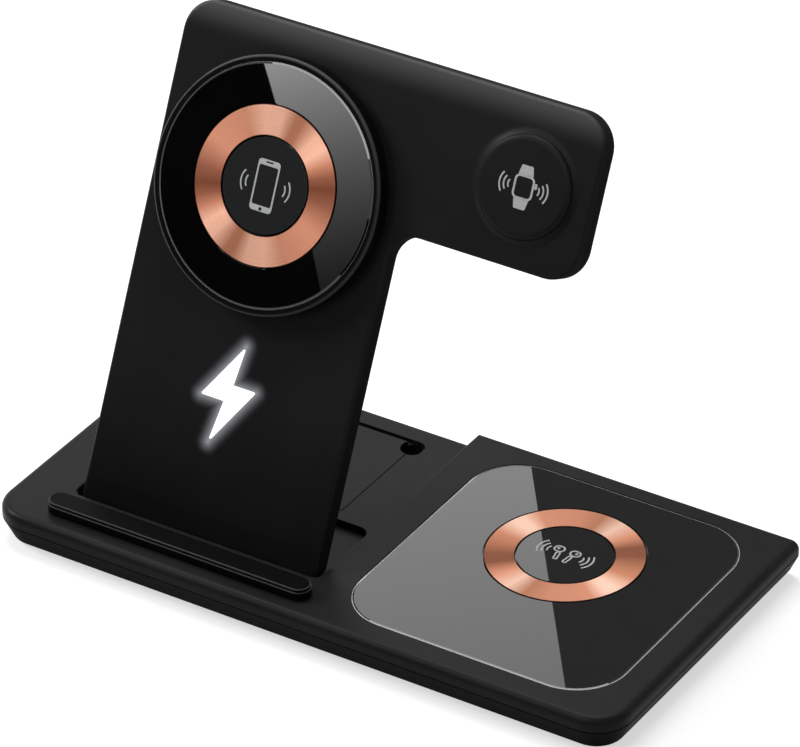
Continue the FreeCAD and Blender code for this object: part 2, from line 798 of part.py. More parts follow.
# Watch charger behind the raised circle on the arm.
watch_n = room_n + watch_pocket
coil_r = watch_diameter / 2 - 1.4
watch_coil_n = watch_n - coil_thickness
pieces["watch_coil"] = to_stand(tube(coil_r, 4.6, coil_thickness, watch_x, watch_rise, watch_coil_n))
pieces["watch_magnet"] = to_stand(rod(3.8, coil_thickness, watch_x, watch_rise, watch_n - coil_thickness))
pieces["watch_ferrite"] = to_stand(
    rod(coil_r + 0.3, ferrite_thickness, watch_x, watch_rise, watch_n - coil_thickness - ferrite_thickness)
)

for name, shape in pieces.items():
    shape.exportStep("parts/" + name + ".step")
    print(name, len(shape.Solids), "valid" if shape.isValid() else "NOT VALID", round(shape.Volume, 1))
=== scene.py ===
import math

import bpy
from mathutils import Matrix, Vector


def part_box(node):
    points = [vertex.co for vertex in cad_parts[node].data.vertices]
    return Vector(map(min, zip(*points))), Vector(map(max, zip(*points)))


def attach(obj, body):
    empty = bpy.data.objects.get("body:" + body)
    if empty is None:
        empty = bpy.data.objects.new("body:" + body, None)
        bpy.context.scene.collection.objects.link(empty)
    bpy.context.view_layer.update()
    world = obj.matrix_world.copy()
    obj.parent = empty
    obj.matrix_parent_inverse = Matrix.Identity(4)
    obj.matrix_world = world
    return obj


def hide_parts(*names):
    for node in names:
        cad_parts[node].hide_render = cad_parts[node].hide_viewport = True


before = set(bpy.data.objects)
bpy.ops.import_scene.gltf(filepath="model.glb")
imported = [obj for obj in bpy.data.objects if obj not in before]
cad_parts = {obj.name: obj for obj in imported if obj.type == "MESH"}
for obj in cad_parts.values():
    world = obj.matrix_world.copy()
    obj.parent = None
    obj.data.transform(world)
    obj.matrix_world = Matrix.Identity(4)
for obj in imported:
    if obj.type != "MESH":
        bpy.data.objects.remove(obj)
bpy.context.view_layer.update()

# Lower tray and upper shell of the base: two injection mouldings in ABS with a black soft-touch coat.
# The tray is drawn in towards the table, the shell carries the folding bay and the seat for the glass,
# and four screws from below close them along the thin dark seam round the base.


def linear(code):
    """Linear colour, with alpha, from an sRGB hex code."""
    out = []
    for i in (1, 3, 5):
        c = int(code[i:i + 2], 16) / 255
        out.append(c / 12.92 if c <= 0.04045 else ((c + 0.055) / 1.055) ** 2.4)
    return out + [1.0]


def add_node(tree, kind, inputs, stops=(), **settings):
    """Adds a node with its settings and ramp stops; an input takes a value or another node's output."""
    made = tree.nodes.new(kind)
    for key, value in settings.items():
        setattr(made, key, value)
    for i, (at, code) in enumerate(stops):
        stop = made.color_ramp.elements[i] if i < 2 else made.color_ramp.elements.new(at)
        stop.position = at
        stop.color = linear(code)
    for key, value in inputs.items():
        if isinstance(value, bpy.types.NodeSocket):
            tree.links.new(value, made.inputs[key])
        else:
            made.inputs[key].default_value = value
    return made


def start_finish(name, **sockets):
    """Starts a material; gives it with its tree, its shader and the piece's own coordinates in metres."""
    finish = bpy.data.materials.new(name)
    finish.use_nodes = True
    tree = finish.node_tree
    shader = tree.nodes["Principled BSDF"]
    for key, value in sockets.items():
        shader.inputs[key.replace("_", " ")].default_value = value
    place = add_node(tree, "ShaderNodeTexCoord", {}).outputs["Object"]
    return finish, tree, shader, place


def mottled(name, patch, detail, dark, pale, **sockets):
    """Finish whose colour wanders from a dark stop to a pale one, in patches of a real size in metres."""
    finish, tree, shader, place = start_finish(name, **sockets)
    cloud = add_node(tree, "ShaderNodeTexNoise", {"Vector": place, "Scale": 1 / patch, "Detail": detail})
    tone = add_node(tree, "ShaderNodeValToRGB", {"Fac": cloud.outputs["Fac"]}, stops=[dark, pale])
    tree.links.new(tone.outputs["Color"], shader.inputs["Base Color"])
    return finish, tree, shader, place, cloud.outputs["Fac"]


def soft_touch(name, shine, tones=("#19191A", "#1D1D1E")):
    """Soft-touch coat on moulded ABS: near black, dull, with a fine 0.3 mm grain and faint handling marks."""
    hand_mark = 0.022
    skin_grain = 0.0003
    grain_depth = 0.00003
    finish, tree, shader, place, marks = mottled(name, hand_mark, 3.0, (0.35, tones[0]), (0.65, tones[1]),
                                                 Specular_IOR_Level=shine, IOR=1.5)
    dull = add_node(tree, "ShaderNodeMapRange", {"Value": marks, "To Min": 0.32, "To Max": 0.42})
    tree.links.new(dull.outputs["Result"], shader.inputs["Roughness"])
    grain = add_node(tree, "ShaderNodeTexNoise", {"Vector": place, "Scale": 1 / skin_grain, "Detail": 2.0})
    bump = add_node(tree, "ShaderNodeBump", {"Height": grain.outputs["Fac"], "Strength": 0.06,
                    "Distance": grain_depth})
    tree.links.new(bump.outputs["Normal"], shader.inputs["Normal"])
    return finish, tree, bump, place


def dress(name, finish):
    """Gives a node of the solid model its finish."""
    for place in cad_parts[name].material_slots:
        place.material = finish


shell_finish = soft_touch("soft_touch_abs", 0.06)[0]
dress("base_shell", shell_finish)
dress("base_tray", soft_touch("matte_abs", 0.005)[0])

# Painted shade at the bottom of the finger notch beside the lid line in the bay: a near-black sheet with an
# open-cell texture that darkens the notch's floor.
# It is a flat pad that lies on the notch's floor, round on the left and cut straight on the right.
shade_cell = 0.0004
shade_thick = 0.0002
shade_radius = 0.0028
shade_centre = (-0.0159, 0.03455, 0.00366)
shade_cut = (-0.0133, 0, 0)
# Near-black finish of the painted shade sheet.
shade_sheet_finish, tree, shader, place = start_finish("painted_shade_black", Roughness=1.0, Specular_IOR_Level=0.0)
cells = add_node(tree, "ShaderNodeTexVoronoi", {"Vector": place, "Scale": 1 / shade_cell})
tone = add_node(tree, "ShaderNodeValToRGB", {"Fac": cells.outputs["Distance"]},
                stops=[(0.2, "#010101"), (0.8, "#050505")])
tree.links.new(tone.outputs["Color"], shader.inputs["Base Color"])
bpy.ops.object.select_all(action="DESELECT")
bpy.ops.mesh.primitive_circle_add(vertices=48, radius=shade_radius, fill_type="NGON", location=shade_centre)
shade_sheet = bpy.context.object
shade_sheet.name = "notch_painted_shade"
bpy.ops.object.transform_apply(location=True, rotation=True, scale=True)
bpy.ops.object.mode_set(mode="EDIT")
bpy.ops.mesh.select_all(action="SELECT")
bpy.ops.mesh.bisect(plane_co=shade_cut, plane_no=(1, 0, 0), clear_outer=True, use_fill=False)
bpy.ops.object.mode_set(mode="OBJECT")
thick = shade_sheet.modifiers.new("thickness", "SOLIDIFY")
thick.thickness = shade_thick
thick.offset = 1
bpy.ops.object.modifier_apply(modifier="thickness")
shade_sheet.data.materials.append(shade_sheet_finish)
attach(shade_sheet, "base")

# Feet: four rubber discs pressed into round pockets under the tray.
# Natural rubber compound, matte and dark grey, with a fine talc-like mottle of 0.8 mm.
rubber_finish = mottled("foot_rubber", 0.0008, 4.0, (0.3, "#262628"), (0.7, "#343437"),
                        Roughness=0.85, Specular_IOR_Level=0.3)[0]
dress("feet", rubber_finish)

# Screws under the tray and the shell of the power inlet: bright drawn and turned steel.
# Turning leaves fine marks 0.15 mm apart, drawn here at 0.4 mm so that they show.
steel_finish = mottled("turned_steel", 0.0004, 2.0, (0.3, "#8E8F92"), (0.7, "#B4B5B8"),
                       Metallic=1.0, Roughness=0.32)[0]
for name in ("tray_screws", "power_inlet"):
    dress(name, steel_finish)

# Sleeve round the power inlet: a moulded rubber ring, the same compound as the feet.
# It is pressed over the steel and fills the 0.4 mm of room between the inlet and the wall.
sleeve_reach = 0.00038
sleeve_wall = 0.00036
sleeve_depth = 0.0009
low, high = (Vector(corner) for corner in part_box("power_inlet"))
middle = (low + high) / 2
corner_radius = (high.z - low.z) / 2 + 0.0003
bpy.ops.object.select_all(action="DESELECT")
bpy.ops.mesh.primitive_plane_add(size=1, location=(middle.x, high.y - sleeve_depth, middle.z),
                                 rotation=(math.pi / 2, 0, 0))
sleeve = bpy.context.object
sleeve.name = "inlet_sleeve"
sleeve.scale = (high.x - low.x + 2 * sleeve_reach, high.z - low.z + 2 * sleeve_reach, 1)
bpy.ops.object.transform_apply(location=True, rotation=True, scale=True)
bpy.ops.object.mode_set(mode="EDIT")
bpy.ops.mesh.select_all(action="SELECT")
bpy.ops.mesh.bevel(offset=corner_radius, segments=10, affect="VERTICES")
bpy.ops.mesh.select_all(action="SELECT")
bpy.ops.mesh.inset(thickness=sleeve_wall)
bpy.ops.mesh.delete(type="FACE")
bpy.ops.object.mode_set(mode="OBJECT")
thick = sleeve.modifiers.new("depth", "SOLIDIFY")
thick.thickness = sleeve_depth
thick.offset = -1
bpy.ops.object.modifier_apply(modifier="depth")
sleeve.data.materials.append(rubber_finish)
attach(sleeve, "base")

# Boards and the parts on the main one: green solder mask over glass-fibre board, and moulded black chips
# with a faint speckle. Copper tracks lie 2.4 mm apart under the mask and show as paler lines.
track_pitch = 0.0024
track_width = 0.0003
track_run = 0.009
board_finish, tree, shader, place = start_finish("circuit_board", Roughness=0.35)
tracks = add_node(tree, "ShaderNodeTexBrick", {"Vector": place, "Scale": 1.0, "Brick Width": track_run,
                  "Row Height": track_pitch, "Mortar Size": track_width, "Color1": linear("#0F4A26"),
                  "Color2": linear("#12532B"), "Mortar": linear("#2B7A45")})
tree.links.new(tracks.outputs["Color"], shader.inputs["Base Color"])
for name in ("main_board", "stand_board", "light_board"):
    dress(name, board_finish)
chip_finish = mottled("chip_epoxy", 0.0004, 2.0, (0.35, "#1C1C1E"), (0.65, "#262629"), Roughness=0.6)[0]
dress("board_parts", chip_finish)

# Charging coils: enamelled copper wire wound flat, turns 1 mm apart, bonded to pressed ferrite sheets that
# look grey and powdery. Each coil's rings are centred on it; those in the stand are turned with its lean.
# The magnets beside them are nickel plated, smooth and slightly warm.
lean = math.radians(64.6)
hinge = Vector((0, -0.0226, 0.0068))
stem_middle = -36.05
disc_up = 83.7
disc_face = 8.2


def on_stand(x, up, out):
    """Point on the leaning stand from its place across, up from the hinge and out of its face, in mm."""
    flat = Vector((x, up, out)) * 0.001
    return hinge + Matrix.Rotation(lean, 3, "X") @ flat


pad_centre = Vector((0.04085, 0.0101, 0.0094))
disc_centre = on_stand(stem_middle, disc_up, disc_face)
watch_centre = on_stand(26.3, 100.5, 4.7)
wire_pitch = 0.001
wave_length = 0.314  # of the wave texture at a scale of 1
for name, centre, turn in (("pad_coil", pad_centre, 0), ("phone_coil", disc_centre, lean),
                           ("watch_coil", watch_centre, lean)):
    coil_finish, tree, shader, place = start_finish(name + "_wire", Metallic=1.0, Roughness=0.35)
    flat = add_node(tree, "ShaderNodeMapping", {"Vector": place, "Location": centre,
                    "Rotation": (turn, 0, 0)}, vector_type="TEXTURE")
    turns = add_node(tree, "ShaderNodeTexWave", {"Vector": flat.outputs["Vector"],
                     "Scale": wave_length / wire_pitch}, wave_type="RINGS", rings_direction="Z")
    tone = add_node(tree, "ShaderNodeValToRGB", {"Fac": turns.outputs["Fac"]},
                    stops=[(0.1, "#5A2C17"), (0.6, "#C07A4C")])
    tree.links.new(tone.outputs["Color"], shader.inputs["Base Color"])
    dress(name, coil_finish)
ferrite_finish = mottled("pressed_ferrite", 0.0005, 3.0, (0.35, "#37383A"), (0.65, "#47484B"),
                         Roughness=0.7)[0]
for name in ("pad_ferrite", "phone_ferrite", "watch_ferrite"):
    dress(name, ferrite_finish)
magnet_finish = mottled("nickel_plate", 0.001, 2.0, (0.3, "#B9B7B0"), (0.7, "#CFCDC6"),
                        Metallic=1.0, Roughness=0.22)[0]
for name in ("phone_magnets", "watch_magnet"):
    dress(name, magnet_finish)

# Glass pad: a sheet of tempered glass printed black behind and bonded into the seat of the shell.
# Its face is polished, with faint wipe marks some 12 mm wide, and its edge is ground off at a flat angle,
# which leaves it frosted and pale. Along the pad's left side its whole sloping edge is painted pale as a
# painted highlight.


def backed_glass(name, centre, turn, edge_tone, edge_dull, lip, left=-1.0):
    """Black-backed glass, ground where it lies below the lip and clear of the ring; left of a place its whole
    edge is painted pale as a painted highlight.
    """
    wipe_width = 0.012
    ring_room = 0.022
    finish, tree, shader, place = start_finish(name, IOR=1.52)
    flat = add_node(tree, "ShaderNodeMapping", {"Vector": place, "Location": centre,
                    "Rotation": (turn, 0, 0)}, vector_type="TEXTURE")
    split = add_node(tree, "ShaderNodeSeparateXYZ", {"Vector": flat.outputs["Vector"]})
    low = add_node(tree, "ShaderNodeMath", {0: split.outputs["Z"], 1: lip}, operation="LESS_THAN")
    far = add_node(tree, "ShaderNodeVectorMath", {0: flat.outputs["Vector"]}, operation="LENGTH")
    clear = add_node(tree, "ShaderNodeMath", {0: far.outputs["Value"], 1: ring_room},
                     operation="GREATER_THAN")
    frost_and_highlight = add_node(tree, "ShaderNodeMath", {0: low.outputs["Value"], 1: clear.outputs["Value"]},
                      operation="MULTIPLY")
    # Painted highlight: left of the given place the whole sloping edge takes the pale edge colour.
    spot = add_node(tree, "ShaderNodeSeparateXYZ", {"Vector": place})
    left_highlight = add_node(tree, "ShaderNodeMath", {0: spot.outputs["X"], 1: left}, operation="LESS_THAN")
    frost_and_highlight = add_node(tree, "ShaderNodeMath", {0: frost_and_highlight.outputs["Value"], 1: left_highlight.outputs["Value"]},
                      operation="MAXIMUM")
    wipe = add_node(tree, "ShaderNodeTexNoise", {"Vector": place, "Scale": 1 / wipe_width, "Detail": 4.0,
                    "Distortion": 0.6})
    tone = add_node(tree, "ShaderNodeValToRGB", {"Fac": wipe.outputs["Fac"]},
                    stops=[(0.3, "#060607"), (0.7, "#09090A")])
    # A mix of colours takes its share on input 0 and the two colours on 6 and 7, one of numbers on 2 and 3.
    edge = add_node(tree, "ShaderNodeMix", {0: frost_and_highlight.outputs["Value"], 6: tone.outputs["Color"],
                    7: linear(edge_tone)}, data_type="RGBA")
    tree.links.new(edge.outputs[2], shader.inputs["Base Color"])
    sheen = add_node(tree, "ShaderNodeMapRange", {"Value": wipe.outputs["Fac"], "To Min": 0.004,
                     "To Max": 0.014})
    dull = add_node(tree, "ShaderNodeMix", {0: frost_and_highlight.outputs["Value"], 2: sheen.outputs["Result"],
                    3: edge_dull}, data_type="FLOAT")
    tree.links.new(dull.outputs[0], shader.inputs["Roughness"])
    return finish


pad_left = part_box("pad_glass")[0][0]
edge_highlight_width = 0.00045
dress("pad_glass", backed_glass("black_backed_glass_pad", pad_centre, 0, "#BFC1C3", 0.4, -0.00012,
                                pad_left + edge_highlight_width))

# Copper rings: thin washers turned from sheet and spun under grit, one let into each glass.
# The tool leaves circles about 0.3 mm apart. The pale and dark wedges that spun metal throws back are painted
# into the colour by angle round each ring, as painted highlights and painted shade, and a thin dark border at
# the bore and the rim is painted shade.


def copper_ring(name, centre, turn, painted_wedges):
    """A spun ring of 22.9 mm bore, 37.3 mm across and 0.5 mm thick, its face 0.05 mm proud of the glass."""
    bore = 0.01145
    rim = 0.01865
    proud = 0.00005
    thick = 0.0005
    pitch = 0.0003
    corner = 0.00006
    groove = 0.000008
    line_width = 0.00025
    bpy.ops.object.select_all(action="DESELECT")
    bpy.ops.mesh.primitive_circle_add(vertices=160, radius=bore, fill_type="NOTHING",
                                      location=(0, 0, proud - thick))
    ring = bpy.context.object
    ring.name = name
    bpy.ops.object.transform_apply(location=True, rotation=True, scale=True)
    bpy.ops.object.mode_set(mode="EDIT")
    bpy.ops.mesh.select_all(action="SELECT")
    path = [(bore, proud - corner), (bore + corner, proud)]
    face_width = rim - bore - 2 * corner
    steps = int(face_width / (pitch / 2))
    for i in range(1, steps + 1):
        radius = bore + corner + face_width * i / steps
        path.append((radius, proud - (groove if i % 2 and i < steps else 0)))
    path += [(rim, proud - corner), (rim, proud - thick), (bore, proud - thick)]
    radius = bore
    height = proud - thick
    for next_radius, next_height in path:
        grow = next_radius / radius
        bpy.ops.mesh.extrude_region_move(TRANSFORM_OT_translate={"value": (0, 0, next_height - height)})
        bpy.ops.transform.resize(value=(grow, grow, 1))
        radius = next_radius
        height = next_height
    bpy.ops.mesh.select_all(action="SELECT")
    bpy.ops.mesh.remove_doubles(threshold=0.000001)
    bpy.ops.mesh.normals_make_consistent(inside=False)
    bpy.ops.object.mode_set(mode="OBJECT")
    # The map runs round the ring one way, and across its face and down its walls the other.
    sweep = ring.data.uv_layers.new(name="sweep")
    for face in ring.data.polygons:
        angles = [math.atan2(ring.data.vertices[v].co.y, ring.data.vertices[v].co.x) for v in face.vertices]
        for loop, angle in zip(face.loop_indices, angles):
            if angle < max(angles) - math.pi:
                angle += 2 * math.pi
            spot = ring.data.vertices[ring.data.loops[loop].vertex_index].co
            sweep.data[loop].uv = (angle / (2 * math.pi), spot.xy.length / rim + spot.z / 0.01)
    bpy.ops.object.shade_smooth_by_angle(angle=math.radians(40))
    ring.rotation_euler = (turn, 0, 0)
    ring.location = centre
    bpy.ops.object.transform_apply(location=True, rotation=True, scale=True)
    finish, tree, shader, place = start_finish(name + "_spun_copper", Metallic=1.0, Roughness=0.48,
                                               Anisotropic=0.5)
    flat = add_node(tree, "ShaderNodeMapping", {"Vector": place, "Location": centre,
                    "Rotation": (turn, 0, 0)}, vector_type="TEXTURE")
    split = add_node(tree, "ShaderNodeSeparateXYZ", {"Vector": flat.outputs["Vector"]})
    angle = add_node(tree, "ShaderNodeMath", {0: split.outputs["Y"], 1: split.outputs["X"]},
                     operation="ARCTAN2")
    half = add_node(tree, "ShaderNodeMath", {0: angle.outputs["Value"], 1: math.pi},
                    operation="FLOORED_MODULO")
    share = add_node(tree, "ShaderNodeMath", {0: half.outputs["Value"], 1: math.pi}, operation="DIVIDE")
    # Painted highlights and painted shade: the colour steps through pale and dark wedges by angle, alike on
    # both halves of the ring.
    tone = add_node(tree, "ShaderNodeValToRGB", {"Fac": share.outputs["Value"]}, stops=painted_wedges)
    far = add_node(tree, "ShaderNodeVectorMath", {0: flat.outputs["Vector"]}, operation="LENGTH")
    lines = add_node(tree, "ShaderNodeTexNoise", {"W": far.outputs["Value"], "Scale": 1 / line_width,
                     "Detail": 2.0}, noise_dimensions="1D")
    light = add_node(tree, "ShaderNodeMapRange", {"Value": lines.outputs["Fac"], "From Min": 0.3,
                     "From Max": 0.7, "To Min": 0.93, "To Max": 1.05})
    depth = add_node(tree, "ShaderNodeMapRange", {"Value": far.outputs["Value"], "From Min": bore,
                     "From Max": rim})
    # Painted shade: a thin dark border in the colour at the bore and at the rim.
    edge_shade = add_node(tree, "ShaderNodeValToRGB", {"Fac": depth.outputs["Result"]},
                    stops=[(0.0, "#2A1C16"), (0.022, "#2A1C16"), (0.03, "#FFFFFF"), (0.97, "#FFFFFF"),
                           (0.978, "#2A1C16"), (1.0, "#2A1C16")])
    scored = add_node(tree, "ShaderNodeMix", {0: 1.0, 6: tone.outputs["Color"], 7: light.outputs["Result"]},
                      data_type="RGBA", blend_type="MULTIPLY")
    scored = add_node(tree, "ShaderNodeMix", {0: 1.0, 6: scored.outputs[2], 7: edge_shade.outputs["Color"]},
                      data_type="RGBA", blend_type="MULTIPLY")
    tree.links.new(scored.outputs[2], shader.inputs["Base Color"])
    along = add_node(tree, "ShaderNodeTangent", {}, direction_type="UV_MAP", uv_map="sweep")
    tree.links.new(along.outputs["Tangent"], shader.inputs["Tangent"])
    ring.data.materials.append(finish)
    return ring


# Tones of the painted highlight and painted shade wedges on the pad's ring.
deep = "#683F2D"
brown = "#885842"
warm = "#9C684F"
copper = "#AE765D"
pale = "#C6A391"
pad_ring = copper_ring("spun_ring_pad", pad_centre, 0, [
    (0.0, warm), (0.08, brown), (0.16, deep), (0.23, deep), (0.32, copper), (0.41, pale), (0.5, warm),
    (0.6, copper), (0.78, copper), (0.85, pale), (0.9, pale), (1.0, warm)])
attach(pad_ring, "base")
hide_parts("pad_ring")

# Printed sign on the pad: two earbuds between sound waves, screen printed in pale grey ink.
# The ink lies 0.02 mm thick on the glass inside the ring, and the screen leaves a 0.3 mm mottle in it.
ink_thick = 0.02
ink_finish = mottled("screen_ink", 0.0003, 2.0, (0.3, "#B4B5B6"), (0.7, "#C6C7C8"), Roughness=0.55)[0]


def flat_start(width, height, x, y, turn=0.0):
    """Flat rectangle in mm at its place on a sign, ready to be shaped."""
    bpy.ops.object.select_all(action="DESELECT")
    bpy.ops.mesh.primitive_plane_add(size=0.001, location=(x * 0.001, y * 0.001, 0), rotation=(0, 0, turn))
    shape = bpy.context.object
    shape.scale = (width, height, 1)
    bpy.ops.object.transform_apply(location=False, rotation=False, scale=True)
    return shape


def pick(shape, wanted):
    """Opens a shape for editing with only the points selected whose place is wanted."""
    for part in (shape.data.polygons, shape.data.edges):
        part.foreach_set("select", [False] * len(part))
    for point in shape.data.vertices:
        point.select = wanted(point.co)
    bpy.ops.object.mode_set(mode="EDIT")
    bpy.ops.mesh.select_mode(type="VERT")


def round_off(shape, radius, line, stretch=1.0):
    """Rounds the corners of a flat shape and, given a line's width, leaves only that line round it."""
    bpy.ops.object.mode_set(mode="EDIT")
    bpy.ops.mesh.select_all(action="SELECT")
    bpy.ops.mesh.bevel(offset=radius * 0.001, segments=6, affect="VERTICES")
    if line > 0:
        bpy.ops.mesh.select_all(action="SELECT")
        bpy.ops.mesh.inset(thickness=line * 0.001)
        if stretch != 1.0:
            bpy.ops.transform.resize(value=(1, stretch, 1), orient_type="LOCAL")
        bpy.ops.mesh.delete(type="FACE")
    bpy.ops.object.mode_set(mode="OBJECT")
    bpy.ops.object.transform_apply(location=True, rotation=True, scale=True)
    return shape


def wave(x, y, radius, line, middle, half):
    """One sound wave: a short edge spun about its centre, in mm and radians."""
    shape = flat_start(line, line, radius, 0)
    bpy.ops.object.transform_apply(location=True, rotation=True, scale=True)
    pick(shape, lambda spot: spot.y > 0)
    bpy.ops.mesh.delete(type="VERT")
    bpy.ops.mesh.select_all(action="SELECT")
    bpy.ops.mesh.spin(steps=14, angle=2 * half, center=(0, 0, 0), axis=(0, 0, 1))
    bpy.ops.mesh.select_all(action="SELECT")
    bpy.ops.mesh.normals_make_consistent(inside=False)
    bpy.ops.object.mode_set(mode="OBJECT")
    angles = [math.atan2(v.co.y, v.co.x) for v in shape.data.vertices]
    shape.rotation_euler = (0, 0, middle - (min(angles) + max(angles)) / 2)
    shape.location = (x * 0.001, y * 0.001, 0)
    bpy.ops.object.transform_apply(location=True, rotation=True, scale=True)
    return shape


def sign(name, shapes, centre, turn, body, finish):
    """Joins the flat shapes, gives them the ink's thickness and lays them on the face that carries them."""
    bpy.ops.object.select_all(action="DESELECT")
    for shape in shapes:
        shape.select_set(True)
    bpy.context.view_layer.objects.active = shapes[0]
    bpy.ops.object.join()
    printed = bpy.context.object
    printed.name = name
    for face in printed.data.polygons:
        if face.normal.z < 0:
            face.flip()
    thick = printed.modifiers.new("ink", "SOLIDIFY")
    thick.thickness = ink_thick * 0.001
    thick.offset = 1
    bpy.ops.object.modifier_apply(modifier="ink")
    printed.rotation_euler = (turn, 0, 0)
    printed.location = centre
    bpy.ops.object.transform_apply(location=True, rotation=True, scale=True)
    printed.data.materials.clear()
    printed.data.materials.append(finish)
    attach(printed, body)
    return printed


shapes = []
line = 0.42
wave_half = math.radians(42)
for head_x, stem_x, stem_y, slant, side in ((-2.3, -1.55, -1.15, 0.2, -1), (1.9, 1.35, -1.3, -0.12, 1)):
    shapes.append(round_off(flat_start(2.9, 2.5, head_x, 1.5), 1.2, line))
    shapes.append(round_off(flat_start(0.8, 0.7, head_x + 0.3 * side, 1.6), 0.32, 0))
    shapes.append(round_off(flat_start(1.3, 3.1, stem_x, stem_y, slant), 0.45, 0.4))
for radius in (1.5, 2.7, 3.9):
    shapes.append(wave(-3.3, 0.4, radius, line, math.radians(176), wave_half))
    shapes.append(wave(3.1, 0.2, radius, line, math.radians(-4), wave_half))
sign("earbud_sign", shapes, pad_centre, 0, "base", ink_finish)

# Phone rest: a moulded bar bonded to the shell in front of the stand, topped by a soft silicone pad.
# Both have round ends, both are duller and darker than the shell, and their upper edges are painted pale
# as a painted highlight.


def highlit_bar(name, node, dark, pale, **sockets):
    """Finish of a round-ended bar with a 0.6 mm mottle, whose upper edge is painted pale over 0.3 mm as a
    painted highlight.
    """
    low, high = (Vector(corner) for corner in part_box(node))
    half = (high - low) / 2
    line = 0.0003
    finish, tree, shader, place = mottled(name, 0.0006, 3.0, (0.35, dark), (0.65, pale), **sockets)[:4]
    coat = shader.inputs["Base Color"].links[0].from_socket
    centred = add_node(tree, "ShaderNodeMapping", {"Vector": place, "Location": (low + high) / 2},
                       vector_type="TEXTURE")
    spot = add_node(tree, "ShaderNodeVectorMath", {0: centred.outputs["Vector"]}, operation="ABSOLUTE")
    spot = add_node(tree, "ShaderNodeVectorMath", {0: spot.outputs["Vector"], 1: (half.x - half.y, 0, 1)},
                    operation="SUBTRACT")
    spot = add_node(tree, "ShaderNodeVectorMath", {0: spot.outputs["Vector"], 1: (0, 0, 0)},
                    operation="MAXIMUM")
    out = add_node(tree, "ShaderNodeVectorMath", {0: spot.outputs["Vector"]}, operation="LENGTH")
    rim = add_node(tree, "ShaderNodeMapRange", {"Value": out.outputs["Value"], "From Min": half.y - line,
                   "From Max": half.y - line / 2})
    split = add_node(tree, "ShaderNodeSeparateXYZ", {"Vector": place})
    top = add_node(tree, "ShaderNodeMapRange", {"Value": split.outputs["Z"], "From Min": high.z - line,
                   "From Max": high.z - line / 2})
    # Painted highlight: a pale line along the upper edge.
    highlight_mask = add_node(tree, "ShaderNodeMath", {0: rim.outputs["Result"], 1: top.outputs["Result"]},
                      operation="MULTIPLY")
    highlit_coat = add_node(tree, "ShaderNodeMix", {0: highlight_mask.outputs["Value"], 6: coat, 7: linear("#4A4A4B")},
                    data_type="RGBA")
    tree.links.new(highlit_coat.outputs[2], shader.inputs["Base Color"])
    dress(node, finish)


highlit_bar("moulded_abs_bar", "rest_bar", "#0B0B0C", "#0E0E0F", Roughness=0.45, Specular_IOR_Level=0.018)
highlit_bar("soft_silicone", "rest_pad", "#070708", "#0A0A0B", Roughness=0.4, Specular_IOR_Level=0.022)

# Hinge bracket, its screws, the pin and its keepers: pressed and turned steel, blackened in a hot oxide bath,
# which leaves it dark and slightly cloudy. The bracket is screwed to the foot of the stand from behind.
# The sleeves that grip the pin are turned acetal, black and slightly waxy.
black_steel = mottled("blackened_steel", 0.004, 4.0, (0.3, "#1B1B1D"), (0.7, "#29292C"),
                      Metallic=0.7, Roughness=0.45)[0]
for name in ("hinge_bracket", "bracket_screws", "hinge_pin", "pin_keepers"):
    dress(name, black_steel)
acetal_finish = mottled("turned_acetal", 0.002, 2.0, (0.3, "#202022"), (0.7, "#2A2A2C"), Roughness=0.4)[0]
dress("hinge_sleeves", acetal_finish)

# Stand: an L-shaped front moulding with a raised circle for the watch, and a flat cover behind, in soft-touch
# ABS. The face rolls over below its top edge, where a painted highlight makes the coat paler, and swells
# round the watch circle. Its side walls are matt and painted darker as painted shade, the coat is painted
# darker towards the foot as painted shade, and the coat beside the lit mark has a painted glow.
roll_start = 0.1130
roll_radius = 0.022
highlight_reach = 0.0076
swell_inside = 0.0104
swell_outside = 0.0138
swell_height = 0.0009
wall_top = 0.0030
wall_fade = 0.0038
foot_start = 0.004
foot_end = 0.038
stand_finish, tree, grain_bump, place = soft_touch("soft_touch_abs_stand", 0.07)
shader = tree.nodes["Principled BSDF"]
coat = shader.inputs["Base Color"].links[0].from_socket
coat_dull = shader.inputs["Roughness"].links[0].from_socket
flat = add_node(tree, "ShaderNodeMapping", {"Vector": place, "Location": hinge, "Rotation": (lean, 0, 0)},
                vector_type="TEXTURE")
split = add_node(tree, "ShaderNodeSeparateXYZ", {"Vector": flat.outputs["Vector"]})
past = add_node(tree, "ShaderNodeMath", {0: split.outputs["Y"], 1: roll_start}, operation="SUBTRACT")
past = add_node(tree, "ShaderNodeMath", {0: past.outputs["Value"], 1: 0.0}, operation="MAXIMUM")
drop = add_node(tree, "ShaderNodeMath", {0: past.outputs["Value"], 1: 2.0}, operation="POWER")
drop = add_node(tree, "ShaderNodeMath", {0: drop.outputs["Value"], 1: -0.5 / roll_radius},
                operation="MULTIPLY")
watch = add_node(tree, "ShaderNodeMapping", {"Vector": place, "Location": watch_centre,
                 "Rotation": (lean, 0, 0)}, vector_type="TEXTURE")
reach = add_node(tree, "ShaderNodeVectorMath", {0: watch.outputs["Vector"]}, operation="LENGTH")
swell = add_node(tree, "ShaderNodeMapRange", {"Value": reach.outputs["Value"], "From Min": swell_inside,
                 "From Max": swell_outside, "To Min": swell_height, "To Max": 0.0},
                 interpolation_type="SMOOTHSTEP")
form = add_node(tree, "ShaderNodeMath", {0: drop.outputs["Value"], 1: swell.outputs["Result"]},
                operation="ADD")
roll = add_node(tree, "ShaderNodeBump", {"Height": form.outputs["Value"], "Strength": 1.0, "Distance": 1.0})
tree.links.new(roll.outputs["Normal"], grain_bump.inputs["Normal"])
